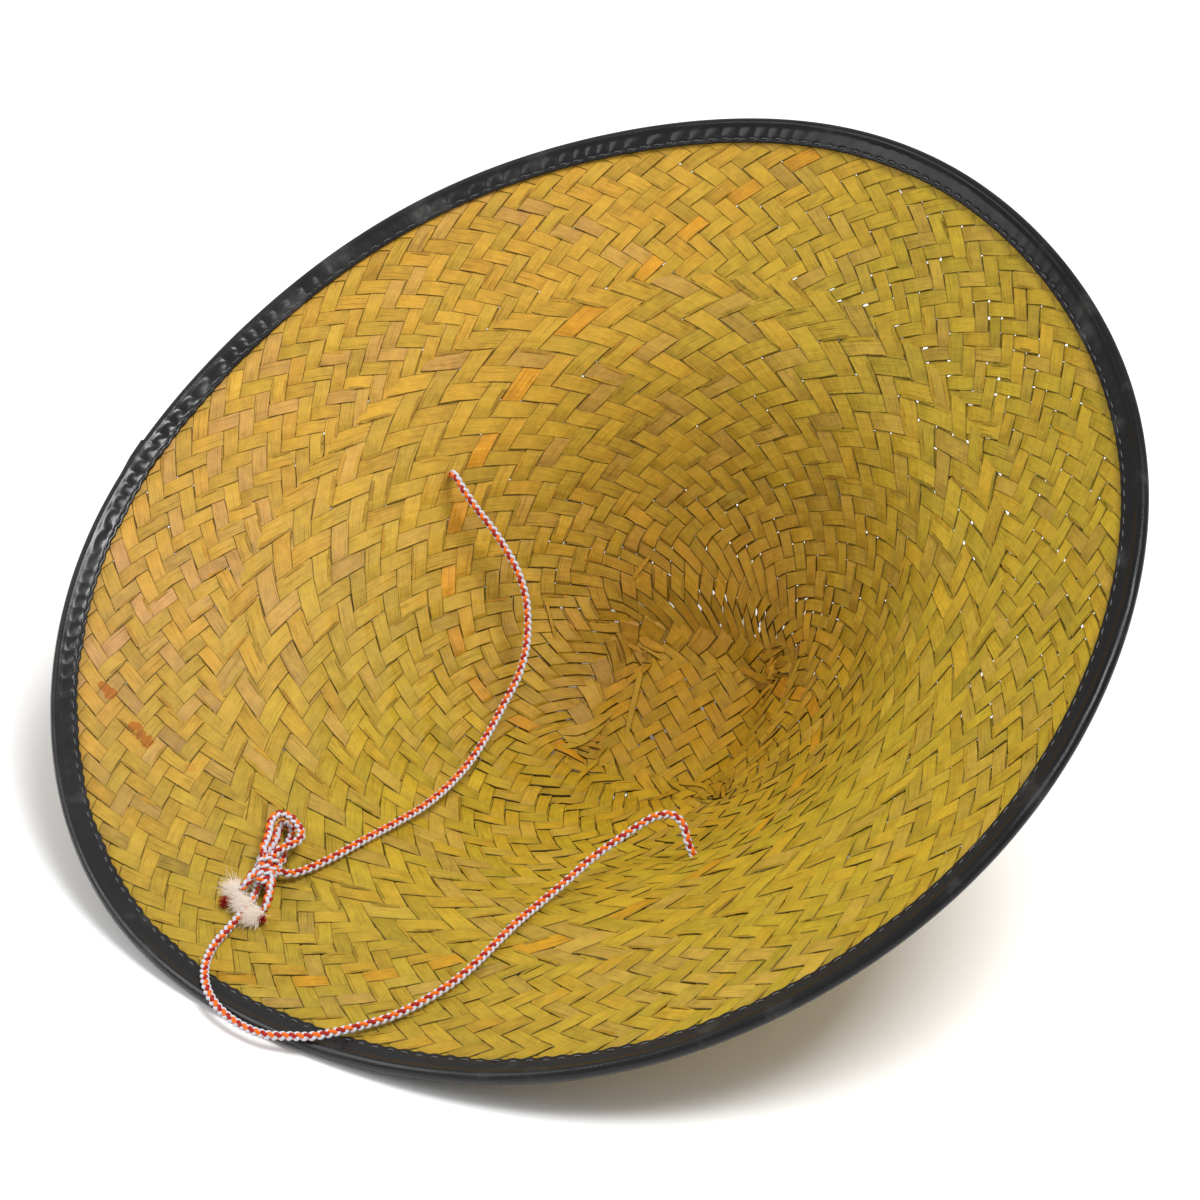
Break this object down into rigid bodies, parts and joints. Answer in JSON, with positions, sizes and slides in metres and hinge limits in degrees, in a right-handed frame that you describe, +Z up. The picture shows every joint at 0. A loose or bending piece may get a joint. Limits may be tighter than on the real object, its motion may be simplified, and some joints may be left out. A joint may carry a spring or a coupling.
{
  "type": "conical straw hat with bound rim and chin cord",
  "caption": "Conical straw hat lying on its side with its hollow in view: woven strips flared from a small flat crown to a wide brim, black vinyl edge binding, braided chin cord tied in a bow.",
  "frame": {"origin": "middle of the foot of the bounding box of the laid hat, on the table it rests on; the loose cord is not counted", "axes": "+Z up, +X along the rim's level width, +Y from the rim's lowest point towards the raised rim, so the hollow faces -Y and up"},
  "size_m": [0.3688, 0.3206, 0.1981],
  "materials": {
    "straw": "dry woven palm-leaf strips, golden with olive and orange tints, faint satin sheen",
    "vinyl": "soft black vinyl tape with puckers and a dull shine",
    "cord": "round braid of white, orange and dark red synthetic yarn"
  },
  "bodies": {
    "root": {"straw_shell": "straw", "rim_binding": "vinyl", "chin_cord_left": "cord", "chin_cord_right": "cord", "stop_knot_left": "cord", "stop_knot_right": "cord", "bow_knot": "cord", "bow_loop_outer": "cord", "bow_loop_inner": "cord", "cord_tail_upper": "cord", "cord_tail_lower": "cord"}
  },
  "joints": []
}
